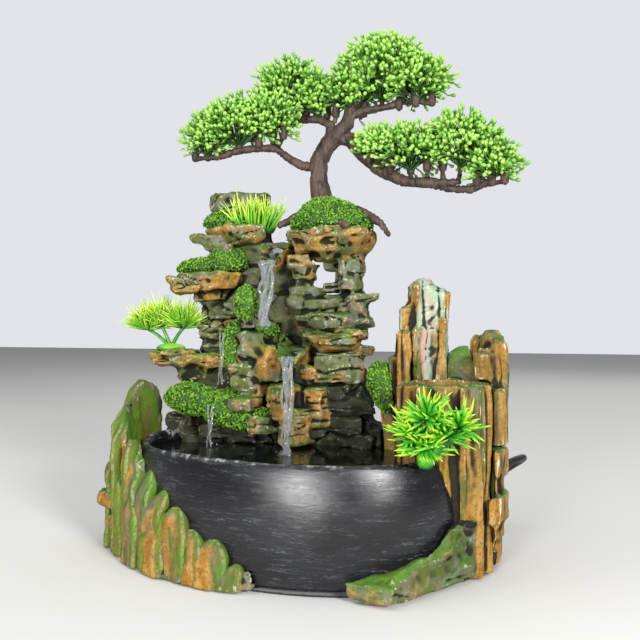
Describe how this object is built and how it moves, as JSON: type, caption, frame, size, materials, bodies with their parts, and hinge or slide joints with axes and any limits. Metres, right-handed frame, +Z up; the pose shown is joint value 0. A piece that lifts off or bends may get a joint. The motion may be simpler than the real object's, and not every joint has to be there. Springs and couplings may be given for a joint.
{
  "type": "tabletop water fountain",
  "caption": "Oval dark bowl in a rock surround with a layered rockery, two spouts, a cup column, an artificial pine and a pump.",
  "frame": {"origin": "middle of the base, on the surface it stands on", "axes": "+Z up, the bowl faces -Y, the cup column is at +X"},
  "size_m": [0.2574, 0.2272, 0.3152],
  "materials": {
    "felt": "matte felt",
    "bowl_black": "satin black resin, dry-brushed with pale grey",
    "rock_petals": "hand-painted resin, ochre and green, cream edges",
    "rock_green": "hand-painted resin, mossy green",
    "rock_column": "hand-painted resin, ochre flutes and green sides",
    "rock_dark": "hand-painted resin, dark grey-green",
    "rock_grey": "hand-painted resin, grey with pale edges",
    "rock_ochre": "hand-painted resin, ochre faces and grey tops",
    "moss": "flocked foam moss",
    "bark": "rough brown bark",
    "foliage": "moulded soft plastic leaves",
    "leaf": "moulded soft plastic needles",
    "pump_plastic": "fine-textured moulding",
    "white_plastic": "moulded",
    "grey_plastic": "moulded",
    "ceramic": "polished ceramic",
    "clear_rubber": "translucent",
    "silicone": "translucent",
    "lens": "clear, slightly frosted",
    "cord_black": "satin PVC",
    "plug_black": "satin moulding",
    "pin_metal": "nickel plated"
  },
  "bodies": {
    "root": {"base_felt": "felt", "bowl": "bowl_black", "left_petal_rocks": "rock_petals", "right_foot_rock": "rock_green", "right_rock": "rock_column", "cup_column": "rock_column", "rear_pillar": "rock_column", "side_pillars": "rock_column", "cup_boulder": "rock_green", "rockery_shell": "rock_dark", "top_slab": "rock_grey", "grass_slab": "rock_ochre", "upper_spout": "rock_ochre", "tree_platform": "rock_ochre", "arch_pillar": "rock_grey", "hanging_rocks": "rock_ochre", "mossy_ledge": "moss", "crevice_rocks": "rock_grey", "plant_ledge": "rock_ochre", "centre_rock": "rock_ochre", "lower_spout": "rock_ochre", "right_ledge_upper": "rock_grey", "right_ledge_lower": "rock_ochre", "right_boulder": "rock_grey", "foot_rocks": "rock_ochre", "moss_tree_mound": "moss", "moss_grass_slab": "moss", "moss_ledge": "moss", "moss_centre": "moss", "moss_bank": "moss", "moss_bush": "moss", "tree_trunk": "bark", "foliage_left": "foliage", "foliage_upper_left": "foliage", "foliage_top": "foliage", "foliage_right": "foliage", "foliage_right_tip": "foliage", "grass_tuft": "leaf", "needle_plant_left": "leaf", "star_plant_right": "leaf", "pump_body": "pump_plastic", "pump_front_cover": "pump_plastic", "impeller_shaft": "ceramic", "intake_grille": "pump_plastic", "suction_cups": "clear_rubber", "riser_hose": "silicone", "spout_nozzle": "clear_rubber", "led_housing": "white_plastic", "led_lens": "lens", "lamp_lead": "cord_black", "pump_lead": "cord_black", "cord_gland": "cord_black", "power_cord": "cord_black", "power_cord_coil": "cord_black", "cord_tail": "cord_black", "plug_body": "plug_black", "plug_pins": "pin_metal"},
    "impeller": {"pump_impeller": "white_plastic"},
    "regulator": {"flow_regulator": "grey_plastic"},
    "cover": {"back_cover": "rock_dark"}
  },
  "joints": [
    {"name": "impeller_spin", "type": "hinge", "parent": "root", "child": "impeller", "pos_m": [-0.046, 0.056, 0.024], "axis": [1, 0, 0], "continuous": true},
    {"name": "regulator_turn", "type": "hinge", "parent": "root", "child": "regulator", "pos_m": [-0.026, 0.056, 0.0285], "axis": [1, 0, 0], "range_deg": [0, 90]},
    {"name": "cover_pull", "type": "slide", "parent": "root", "child": "cover", "axis": [0, 1, 0], "range_m": [0, 0.03]}
  ]
}
